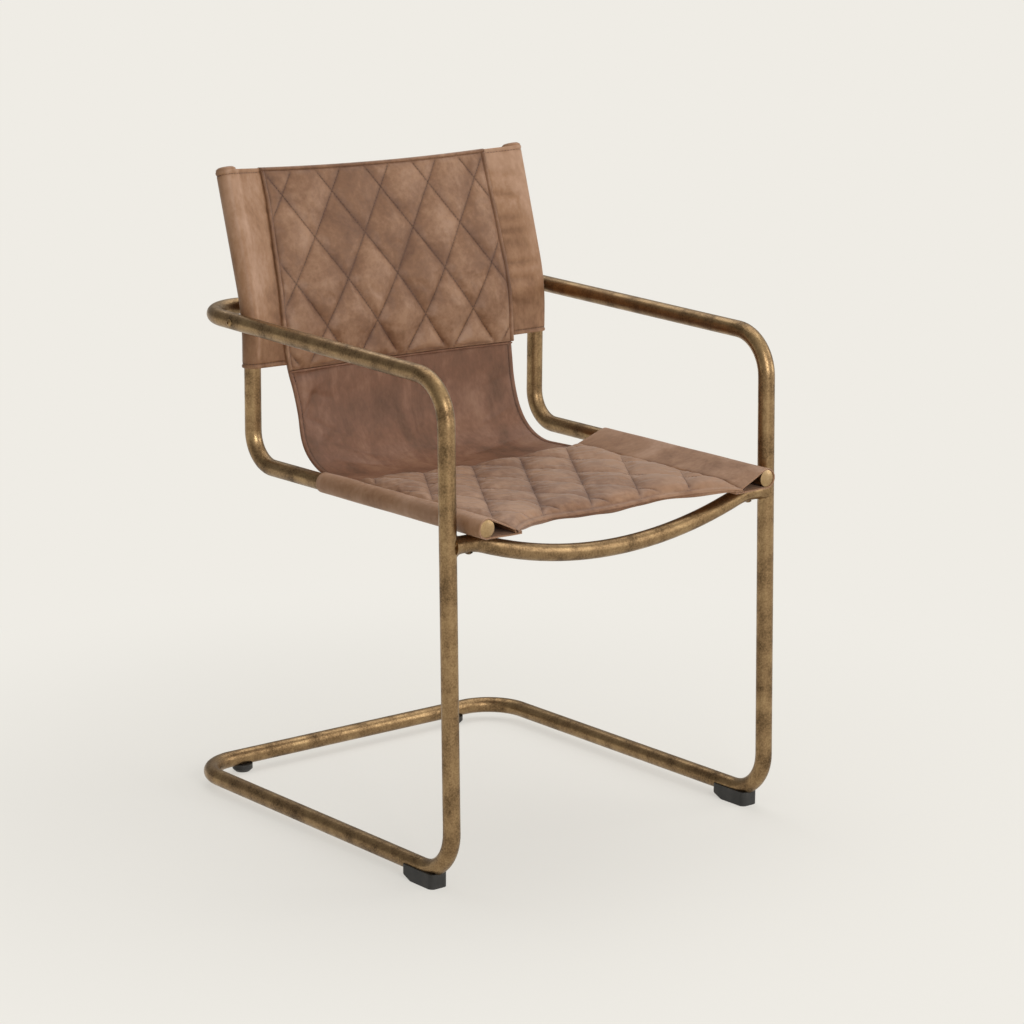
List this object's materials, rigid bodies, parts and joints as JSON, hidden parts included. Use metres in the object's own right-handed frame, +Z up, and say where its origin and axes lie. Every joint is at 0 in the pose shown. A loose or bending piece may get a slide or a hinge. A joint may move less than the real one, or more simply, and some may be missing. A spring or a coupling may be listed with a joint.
{
  "type": "cantilever armchair",
  "caption": "Cantilever armchair of bent round tube with an antique brass finish and a leather sling, quilted in diamonds on the seat and back, hung on sewn sleeves",
  "frame": {"origin": "under the middle of the chair's overall box, on the floor", "axes": "+X to the right of a person in front who looks at the chair, +Y from the front of the seat to the back, +Z up; the chair faces -Y"},
  "size_m": [0.557, 0.6096, 0.8478],
  "materials": {
    "frame_tube": "antique, brushed and lacquered",
    "brass_button": "antique, worn bright",
    "black_plastic": "moulded, matt",
    "plain_steel": "zinc plated",
    "brown_leather": "waxed and crumpled, soft sheen",
    "sleeve_leather": "waxed, soft sheen",
    "wadding": "needled felt"
  },
  "bodies": {
    "root": {"left_side_tube": "frame_tube", "right_side_tube": "frame_tube", "base_joint_spigot": "plain_steel", "arm_joint_spigot": "plain_steel", "front_stretcher": "frame_tube", "left_seat_back_tube": "frame_tube", "right_seat_back_tube": "frame_tube", "left_rail_plug": "brass_button", "right_rail_plug": "brass_button", "left_post_plug": "black_plastic", "right_post_plug": "black_plastic", "left_front_foot": "black_plastic", "right_front_foot": "black_plastic", "left_rear_glide": "black_plastic", "right_rear_glide": "black_plastic", "foot_screws": "plain_steel", "arm_bolts": "brass_button", "rail_bolts": "brass_button", "rivet_nuts": "plain_steel", "sling_body": "brown_leather", "seat_wadding": "wadding", "back_wadding": "wadding", "quilted_seat": "brown_leather", "quilted_back": "brown_leather", "back_piping": "sleeve_leather", "left_seat_sleeve": "sleeve_leather", "right_seat_sleeve": "sleeve_leather", "left_back_sleeve": "sleeve_leather", "right_back_sleeve": "sleeve_leather", "left_post_cap": "sleeve_leather", "right_post_cap": "sleeve_leather"}
  },
  "joints": []
}
